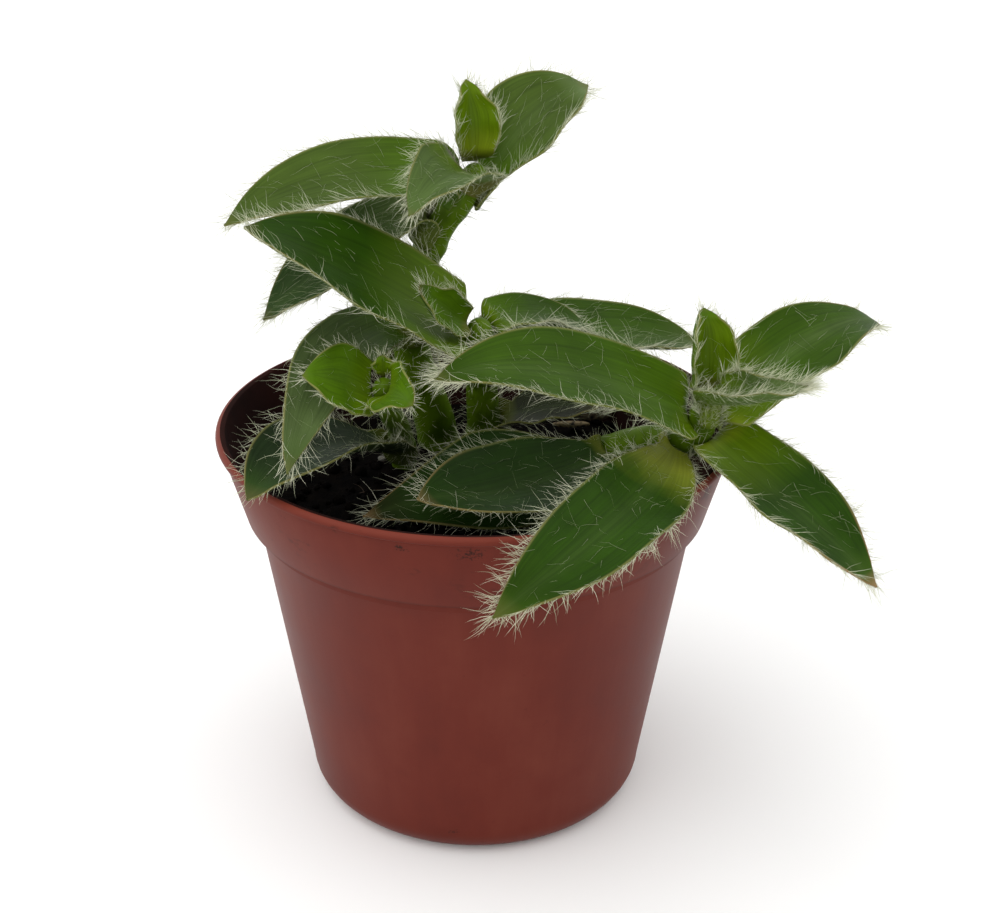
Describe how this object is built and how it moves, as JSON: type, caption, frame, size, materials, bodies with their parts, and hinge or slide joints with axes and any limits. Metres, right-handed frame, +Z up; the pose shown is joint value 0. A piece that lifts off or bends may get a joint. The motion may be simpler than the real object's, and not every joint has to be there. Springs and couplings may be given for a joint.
{
  "type": "potted kitten ears plant",
  "caption": "Small hairy trailing house plant with pointed boat-shaped leaves on short shoots, growing in peat in a tapered terracotta-coloured plastic nursery pot.",
  "frame": {"origin": "centre of the pot's flat base, on the surface it stands on", "axes": "+Z up along the pot's axis, +X to the viewer's right in the picture, -Y towards the viewer"},
  "size_m": [0.0718, 0.0676, 0.0781],
  "materials": {
    "pot": "matte terracotta-coloured moulded plastic",
    "soil": "dark moist peat",
    "stem": "green hairy stem",
    "dark_leaf": "dark green waxy leaf with pale hairs",
    "bright_leaf": "young yellow-green leaf with pale hairs",
    "grey_leaf": "grey-green leaf under dense pale hairs"
  },
  "bodies": {
    "root": {"pot": "pot", "soil": "soil", "tall_stem": "stem", "middle_stem": "stem", "right_stem": "stem", "side_stem": "stem", "top_left_leaf": "dark_leaf", "top_right_leaf": "dark_leaf", "top_front_leaf": "grey_leaf", "top_young_leaf": "bright_leaf", "tall_stem_left_leaf": "grey_leaf", "tall_stem_drooping_leaf": "grey_leaf", "tall_stem_back_leaf": "dark_leaf", "middle_left_leaf": "dark_leaf", "middle_young_leaf": "bright_leaf", "middle_right_leaf": "bright_leaf", "middle_back_leaf": "grey_leaf", "middle_low_leaf": "grey_leaf", "right_shoot_left_leaf": "dark_leaf", "right_shoot_young_leaf": "bright_leaf", "right_shoot_back_leaf": "dark_leaf", "right_shoot_outer_leaf": "dark_leaf", "right_shoot_front_leaf": "dark_leaf", "right_shoot_folded_leaf": "grey_leaf", "front_upper_leaf": "dark_leaf", "front_lower_leaf": "grey_leaf", "side_shoot_rim_leaf": "grey_leaf", "side_shoot_left_leaf": "bright_leaf", "side_shoot_right_leaf": "bright_leaf", "side_shoot_bud": "bright_leaf"}
  },
  "joints": []
}
